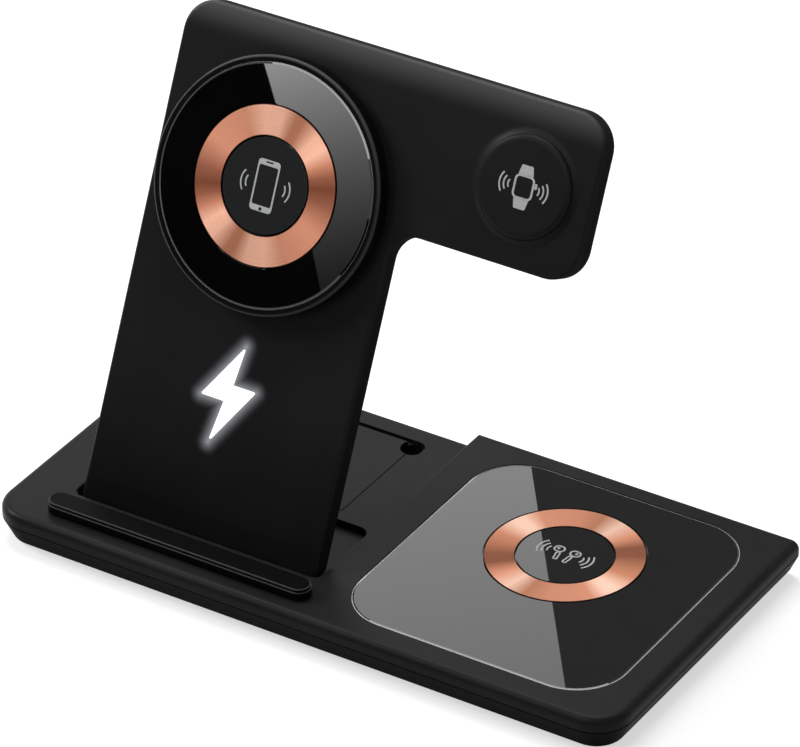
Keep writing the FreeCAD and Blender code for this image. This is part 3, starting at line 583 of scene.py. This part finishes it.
# Painted highlight: the coat turns paler over 7.6 mm past the start of the roll.
highlight_mask = add_node(tree, "ShaderNodeMapRange", {"Value": past.outputs["Value"], "From Min": 0.0,
                  "From Max": highlight_reach, "To Min": 0.0, "To Max": 0.9}, interpolation_type="SMOOTHSTEP")
highlit_coat = add_node(tree, "ShaderNodeMix", {0: highlight_mask.outputs["Result"], 6: coat, 7: linear("#48484A")},
                data_type="RGBA")
# Painted shade: the side walls take a darker black, fading out between 3.0 and 3.8 mm out towards the face;
# they are made matt as well.
wall = add_node(tree, "ShaderNodeMapRange", {"Value": split.outputs["Z"], "From Min": wall_top,
                "From Max": wall_fade, "To Min": 1.0, "To Max": 0.0})
wall_shaded = add_node(tree, "ShaderNodeMix", {0: wall.outputs["Result"], 6: highlit_coat.outputs[2],
                  7: linear("#0F0F10")}, data_type="RGBA")
# Painted shade: the coat darkens towards the foot, down to 0.42 of its tone at 4 mm above the hinge.
foot = add_node(tree, "ShaderNodeMapRange", {"Value": split.outputs["Y"], "From Min": foot_start,
                "From Max": foot_end, "To Min": 0.42, "To Max": 1.0}, interpolation_type="SMOOTHSTEP")
foot_shaded = add_node(tree, "ShaderNodeMix", {0: 1.0, 6: wall_shaded.outputs[2], 7: foot.outputs["Result"]},
                  data_type="RGBA", blend_type="MULTIPLY")
tree.links.new(foot_shaded.outputs[2], shader.inputs["Base Color"])
dull = add_node(tree, "ShaderNodeMix", {0: wall.outputs["Result"], 2: coat_dull, 3: 0.95}, data_type="FLOAT")
tree.links.new(dull.outputs[0], shader.inputs["Roughness"])

# Painted glow round the lit mark: the stand's coat itself gives off light beside the mark.
# It falls off with the distance to the nearest of the mark's six edges and is gone after 3.6 mm.
mark_up = 34.0
stand_face = 4.0
glow_reach = 0.0036
mark_centre = on_stand(stem_middle, mark_up, stand_face)
mark = add_node(tree, "ShaderNodeMapping", {"Vector": place, "Location": mark_centre,
                "Rotation": (lean, 0, 0)}, vector_type="TEXTURE")
corners = []
for x, up in ((2.1, 12), (-7, -1.68), (-0.7, -1.68), (-2.52, -12), (7, 2.4), (0.84, 2.4)):
    corners.append(Vector((x, up, 0)) * 0.001)
nearest = None
for start, end in zip(corners, corners[1:] + corners[:1]):
    run = end - start
    off = add_node(tree, "ShaderNodeVectorMath", {0: mark.outputs["Vector"], 1: start}, operation="SUBTRACT")
    share = add_node(tree, "ShaderNodeVectorMath", {0: off.outputs["Vector"], 1: run / run.length_squared},
                     operation="DOT_PRODUCT")
    share = add_node(tree, "ShaderNodeClamp", {"Value": share.outputs["Value"]})
    beside = add_node(tree, "ShaderNodeVectorMath", {0: run, "Scale": share.outputs["Result"]},
                      operation="SCALE")
    away = add_node(tree, "ShaderNodeVectorMath", {0: off.outputs["Vector"], 1: beside.outputs["Vector"]},
                    operation="DISTANCE")
    if nearest:
        away = add_node(tree, "ShaderNodeMath", {0: away.outputs["Value"], 1: nearest.outputs["Value"]},
                        operation="MINIMUM")
    nearest = away
fade = add_node(tree, "ShaderNodeMapRange", {"Value": nearest.outputs["Value"], "From Max": glow_reach,
                "To Min": 1.0, "To Max": 0.0})
fade = add_node(tree, "ShaderNodeMath", {0: fade.outputs["Result"], 1: 2.5}, operation="POWER")
painted_glow = add_node(tree, "ShaderNodeMath", {0: fade.outputs["Value"], 1: 0.3}, operation="MULTIPLY")
shader.inputs["Emission Color"].default_value = linear("#F4F7FF")
tree.links.new(painted_glow.outputs["Value"], shader.inputs["Emission Strength"])
dress("stand_shell", stand_finish)
dress("stand_cover", shell_finish)

# Lit mark: a charge bolt moulded in frosted acrylic, pushed in from behind and lit by four small lamps.
# The diffuser's glow wanders a little from place to place, in patches of about 6 mm.
lamp_spread = 0.006
guide_finish, tree, shader, place = start_finish("frosted_acrylic", Roughness=0.5)
shader.inputs["Base Color"].default_value = linear("#F2F4F8")
shader.inputs["Emission Color"].default_value = linear("#FAFCFF")
spread = add_node(tree, "ShaderNodeTexNoise", {"Vector": place, "Scale": 1 / lamp_spread, "Detail": 1.0})
level = add_node(tree, "ShaderNodeMapRange", {"Value": spread.outputs["Fac"], "To Min": 0.85, "To Max": 1.1})
tree.links.new(level.outputs["Result"], shader.inputs["Emission Strength"])
dress("light_guide", guide_finish)
dress("leds", guide_finish)

# Phone charger: a moulded housing ring bonded to the stand, with the round glass and its copper ring.
# The housing is soft-touch ABS of a deeper black than the stand, and its rounded outer edge is painted paler
# as a painted highlight.
housing_finish, tree, grain_bump, place = soft_touch("soft_touch_abs_disc", 0.03, ("#0A0A0B", "#0D0D0E"))
shader = tree.nodes["Principled BSDF"]
coat = shader.inputs["Base Color"].links[0].from_socket
low, high = (Vector(corner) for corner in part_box("disc_housing"))
outside = (high.x - low.x) / 2
highlight_start = outside - 0.0007
highlight_full = outside - 0.0003
highlight_low = -0.0009
highlight_high = -0.0005
round_flat = add_node(tree, "ShaderNodeMapping", {"Vector": place, "Location": disc_centre,
                      "Rotation": (lean, 0, 0)}, vector_type="TEXTURE")
split = add_node(tree, "ShaderNodeSeparateXYZ", {"Vector": round_flat.outputs["Vector"]})
level = add_node(tree, "ShaderNodeVectorMath", {0: round_flat.outputs["Vector"], 1: (1, 1, 0)},
                 operation="MULTIPLY")
out = add_node(tree, "ShaderNodeVectorMath", {0: level.outputs["Vector"]}, operation="LENGTH")
# Painted highlight: a pale line on the rounded outer edge of the face.
edge = add_node(tree, "ShaderNodeMapRange", {"Value": out.outputs["Value"], "From Min": highlight_start,
                "From Max": highlight_full})
top = add_node(tree, "ShaderNodeMapRange", {"Value": split.outputs["Z"], "From Min": highlight_low,
               "From Max": highlight_high})
highlight_mask = add_node(tree, "ShaderNodeMath", {0: edge.outputs["Result"], 1: top.outputs["Result"]},
                  operation="MULTIPLY")
highlit_coat = add_node(tree, "ShaderNodeMix", {0: highlight_mask.outputs["Value"], 6: coat, 7: linear("#4A4A4B")},
                data_type="RGBA")
tree.links.new(highlit_coat.outputs[2], shader.inputs["Base Color"])
dress("disc_housing", housing_finish)
dress("disc_glass", backed_glass("black_backed_glass_disc", disc_centre, lean, "#8A8B8C", 0.3, -0.00015))
# Tones of the painted highlight and painted shade wedges on the round glass's ring, paler than the pad ring's
# for the lesser light it gets.
deep = "#6E3F2C"
brown = "#875340"
copper = "#B5775D"
warm = "#C8896E"
pale = "#EDB59B"
disc_ring = copper_ring("spun_ring_disc", disc_centre, lean, [
    (0.0, brown), (0.07, deep), (0.12, brown), (0.17, copper), (0.24, pale), (0.3, pale), (0.38, copper),
    (0.42, copper), (0.485, pale), (0.57, pale), (0.67, warm), (0.86, warm), (1.0, brown)])
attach(disc_ring, "stand")
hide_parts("disc_ring")

# Printed signs on the round glass: a matte grey-black field inside the ring, and on it a phone between
# sound waves in the pale ink. The phone's speaker slit and button show the field's colour.
field_radius = 0.0111
field_finish = mottled("matte_screen_ink", 0.0005, 1.0, (0.3, "#191A1B"), (0.7, "#1E1F20"),
                       Roughness=0.5, Specular_IOR_Level=0.08)[0]
bpy.ops.object.select_all(action="DESELECT")
bpy.ops.mesh.primitive_circle_add(vertices=96, radius=field_radius, fill_type="NGON")
shapes = [round_off(bpy.context.object, 0.05, 0)]
field = sign("matte_field", shapes, disc_centre, lean, "stand", field_finish)
shapes = [round_off(flat_start(5.9, 12.0, 0.1, 0), 0.9, 0.42, 0.83)]
for radius, half in ((2.5, math.radians(31)), (3.8, math.radians(38))):
    shapes.append(wave(-2.6, 0, radius, 0.36, math.radians(180), half))
    shapes.append(wave(2.9, 0.1, radius, 0.36, 0, half))
sign("phone_sign", shapes, on_stand(stem_middle, disc_up, disc_face + ink_thick), lean, "stand", ink_finish)
shapes = [round_off(flat_start(2.0, 0.34, 0.1, 5.45), 0.16, 0),
          round_off(flat_start(0.8, 0.8, 0.1, -5.4), 0.36, 0)]
sign("phone_sign_gaps", shapes, on_stand(stem_middle, disc_up, disc_face + 2 * ink_thick), lean, "stand",
     field_finish)

# Printed sign on the watch circle: a watch with its strap ends and crown between sound waves.
# Screen printed on the soft-touch coat in the same ink.
shapes = [round_off(flat_start(5.2, 5.6, 0, 0), 1.3, 0.5)]
for side in (-1, 1):
    strap = flat_start(3.9, 2.3, 0, 3.85 * side)
    bpy.ops.object.transform_apply(location=True, rotation=True, scale=True)
    pick(strap, lambda spot: spot.y * side > 0.004)
    bpy.ops.transform.resize(value=(0.74, 1, 1))
    bpy.ops.object.mode_set(mode="OBJECT")
    shapes.append(round_off(strap, 0.3, 0))
    for radius in (1.4, 2.5, 3.6):
        shapes.append(wave(2.6 * side, 0, radius, 0.4, math.radians(90 - 90 * side), math.radians(38)))
shapes.append(round_off(flat_start(0.6, 1.3, 3.0, 0.9), 0.2, 0))
sign("watch_sign", shapes, watch_centre, lean, "stand", ink_finish)

# Floor and room of the studio: a painted grey floor and a pale room, both matt and without detail.
# Seen straight, mirrored or through glass they are near white, and the floor keeps the object's shadow.


def shown(tree):
    """1 for rays that show the background: from the camera, off a mirror or through glass."""
    path = add_node(tree, "ShaderNodeLightPath", {})
    seen = add_node(tree, "ShaderNodeMath", {0: path.outputs["Is Camera Ray"],
                    1: path.outputs["Is Glossy Ray"]}, operation="MAXIMUM")
    seen = add_node(tree, "ShaderNodeMath", {0: seen.outputs["Value"],
                    1: path.outputs["Is Transmission Ray"]}, operation="MAXIMUM")
    return seen.outputs["Value"]


near_floor = 0.2
far_floor = 0.7
bpy.ops.object.select_all(action="DESELECT")
bpy.ops.mesh.primitive_plane_add(size=8, location=(0, 0, 0))
floor = bpy.context.object
floor.name = "floor"
floor_finish, tree, shader, place = start_finish("pale_floor", Roughness=0.9, Specular_IOR_Level=0.1)
shader.inputs["Base Color"].default_value = linear("#BEBEBE")
shader.inputs["Emission Color"].default_value = linear("#FFFFFF")
away = add_node(tree, "ShaderNodeVectorMath", {0: place}, operation="LENGTH")
level = add_node(tree, "ShaderNodeMapRange", {"Value": away.outputs["Value"], "From Min": near_floor,
                 "From Max": far_floor, "To Min": 0.6, "To Max": 1.0})
lift = add_node(tree, "ShaderNodeMath", {0: shown(tree), 1: level.outputs["Result"]}, operation="MULTIPLY")
tree.links.new(lift.outputs["Value"], shader.inputs["Emission Strength"])
floor.data.materials.append(floor_finish)
room = bpy.data.worlds.new("pale_room")
bpy.context.scene.world = room
room.use_nodes = True
tree = room.node_tree
tree.nodes.clear()
level = add_node(tree, "ShaderNodeMapRange", {"Value": shown(tree), "To Min": 0.15, "To Max": 1.0})
sky = add_node(tree, "ShaderNodeBackground", {"Color": linear("#FFFFFF"),
               "Strength": level.outputs["Result"]})
add_node(tree, "ShaderNodeOutputWorld", {"Surface": sky.outputs["Background"]})

# Camera: a long lens 1.4 m away, from the front right and above, level to within a degree.
# Its place was worked out from the straight edges and circles of the picture.
azimuth = math.radians(32.90)
elevation = math.radians(32.96)
tilt = math.radians(-0.97)
distance = 1.36402
aim = Vector((0.00056, 0.0044, 0.04837))
turn = Matrix.Rotation(azimuth, 4, "Z") @ Matrix.Rotation(math.pi / 2 - elevation, 4, "X")
turn = turn @ Matrix.Rotation(tilt, 4, "Z")
eye = aim + turn.to_3x3() @ Vector((0, 0, distance))
lens = bpy.data.cameras.new("picture_camera")
lens.sensor_fit = "HORIZONTAL"
lens.sensor_width = 36
lens.lens = 270.48
camera = bpy.data.objects.new("picture_camera", lens)
bpy.context.scene.collection.objects.link(camera)
camera.matrix_world = Matrix.Translation(eye) @ turn
bpy.context.scene.camera = camera
bpy.context.scene.view_settings.view_transform = "Standard"

# Lights: three soft lamps on stands, one overhead, a round one on the left and a low one behind.
# The low one only lights the back of the object and is kept out of sight and out of mirrors.


def soft_light(name, spot, turn, power, wide, tall=0.0):
    """Soft lamp at its spot: a rectangle, or a disc where no height is given."""
    bpy.ops.object.light_add(type="AREA", location=spot, rotation=turn)
    lamp = bpy.context.object
    lamp.name = name
    lamp.data.energy = power
    lamp.data.shape = "RECTANGLE" if tall else "DISK"
    lamp.data.size = wide
    if tall:
        lamp.data.size_y = tall
    return lamp


def facing(spot, aim):
    """Turn of a lamp at a spot that looks at its aim."""
    return (Vector(aim) - Vector(spot)).to_track_quat("-Z", "Y").to_euler()


left_spot = (-0.85, -0.2, 0.65)
back_spot = (0.05, 1.0, 0.17)
soft_light("overhead_soft_light", (-0.25, 0.3, 1.05), (-0.27, -0.24, 0), 9.0, 0.8, 0.6)
soft_light("left_soft_light", left_spot, facing(left_spot, (-0.02, 0, 0.06)), 7.3, 0.36)
back_light = soft_light("back_soft_light", back_spot, facing(back_spot, (0, 0, 0.06)), 4.0, 0.6, 0.2)
back_light.visible_camera = False
back_light.visible_glossy = False

# Cards: glowing boards out of the picture that the two glasses mirror, behind on the left for the pad and in
# front for the round glass. Each lit one has its edge where the glass shows the border of the light.
# A dim one stands beside it for the dark half of the pad.


def mirror_card(name, edge, ray, wide, tall, levels, bright_side, bow=0.0):
    """Card lit on one side of its bowed edge, rising as a cube from one level below to another above."""
    along = (edge[1] - edge[0]).normalized()
    across = along.cross(ray).normalized() * bright_side
    outward = across.cross(along)
    centre = (edge[0] + edge[1]) / 2 + across * wide / 2
    ends = ((edge[1] - edge[0]).length / 2 / tall) ** 2
    turn = Matrix((across, -along, -outward)).transposed().to_4x4()
    bpy.ops.object.select_all(action="DESELECT")
    bpy.ops.mesh.primitive_plane_add(size=1)
    card = bpy.context.object
    card.name = name
    card.matrix_world = Matrix.Translation(centre) @ turn @ Matrix.Diagonal((wide, tall, 1, 1))
    finish, tree, shader, place = start_finish(name)
    split = add_node(tree, "ShaderNodeSeparateXYZ", {"Vector": place})
    rise = add_node(tree, "ShaderNodeMapRange", {"Value": split.outputs["Y"], "From Min": -0.5,
                    "From Max": 0.5, "To Min": levels[0] ** (1 / 3), "To Max": levels[1] ** (1 / 3)})
    lit = add_node(tree, "ShaderNodeMath", {0: rise.outputs["Result"], 1: 3.0}, operation="POWER")
    curve = add_node(tree, "ShaderNodeMath", {0: split.outputs["Y"], 1: split.outputs["Y"]},
                     operation="MULTIPLY")
    curve = add_node(tree, "ShaderNodeMapRange", {"Value": curve.outputs["Value"], "From Max": ends,
                     "To Min": bow - 0.5, "To Max": -0.5}, clamp=False)
    inside = add_node(tree, "ShaderNodeMath", {0: split.outputs["X"], 1: curve.outputs["Result"]},
                      operation="GREATER_THAN")
    lit = add_node(tree, "ShaderNodeMath", {0: lit.outputs["Value"], 1: inside.outputs["Value"]},
                   operation="MULTIPLY")
    glow = add_node(tree, "ShaderNodeEmission", {"Strength": lit.outputs["Value"]})
    tree.links.new(glow.outputs["Emission"], tree.nodes["Material Output"].inputs["Surface"])
    card.data.materials.append(finish)
    card.visible_camera = False


pad_edge = (Vector((-0.2011, 0.3915, 0.2879)), Vector((-0.1415, 0.3134, 0.3029)))
disc_edge = (Vector((-0.3362, -0.4862, 0.25325)), Vector((-0.2982, -0.5168, 0.1936)))
pad_ray = Vector((-0.4258, 0.7022, 0.5706))
disc_ray = Vector((-0.48, -0.849, 0.2235))
mirror_card("pad_card_lit", pad_edge, pad_ray, 0.16, 0.26, (1.78, 3.75), 1)
mirror_card("pad_card_dark", pad_edge, pad_ray, 0.1, 0.26, (0.27, 0.27), -1)
mirror_card("disc_card_lit", disc_edge, disc_ray, 0.09, 0.12, (0.017, 10.4), -1, bow=0.011)

# Edge lamp: a bowed glowing tube out of the picture that the sloping edge of the round glass mirrors as a
# thin line. Each of its points lies where that edge sends the sight line from the camera, from two o'clock
# up to twelve.
slope_radius = 0.0327
edge_slope = math.atan2(0.18, 0.5)
lamp_distance = 0.8
stand_turn = Matrix.Rotation(lean, 3, "X")
tube = bpy.data.curves.new("edge_lamp", "CURVE")
tube.dimensions = "3D"
tube.bevel_depth = 0.028
bowed = tube.splines.new("POLY")
clock = range(28, 101, 6)
bowed.points.add(len(clock) - 1)
for point, degrees in zip(bowed.points, clock):
    out = stand_turn @ Vector((math.cos(math.radians(degrees)), math.sin(math.radians(degrees)), 0))
    normal = stand_turn @ Vector((0, 0, math.cos(edge_slope))) + out * math.sin(edge_slope)
    spot = disc_centre + out * slope_radius
    sight = (eye - spot).normalized()
    point.co = (*(spot + (normal * 2 * normal.dot(sight) - sight) * lamp_distance), 1)
edge_lamp = bpy.data.objects.new("edge_lamp", tube)
bpy.context.scene.collection.objects.link(edge_lamp)
finish, tree, shader, place = start_finish("edge_lamp")
glow = add_node(tree, "ShaderNodeEmission", {"Strength": 8.0})
tree.links.new(glow.outputs["Emission"], tree.nodes["Material Output"].inputs["Surface"])
tube.materials.append(finish)
edge_lamp.visible_camera = False
edge_lamp.visible_diffuse = False
edge_lamp.visible_shadow = False

# Flag: a wide board covered in black felt that stands in front of the object, out of the picture.
# It keeps the pale room off the front faces and leaves the lower edge of the round glass dark.
bpy.ops.object.select_all(action="DESELECT")
bpy.ops.mesh.primitive_plane_add(size=1, location=(-0.227, -0.74, 0.19),
                                 rotation=(math.pi / 2, 0, math.radians(-30)))
flag = bpy.context.object
flag.name = "front_flag"
flag.scale = (1.5, 0.37, 1)
flag_finish, tree, shader, place = start_finish("front_flag", Roughness=1.0, Specular_IOR_Level=0.0)
shader.inputs["Base Color"].default_value = linear("#0A0A0A")
flag.data.materials.append(flag_finish)
flag.visible_camera = False
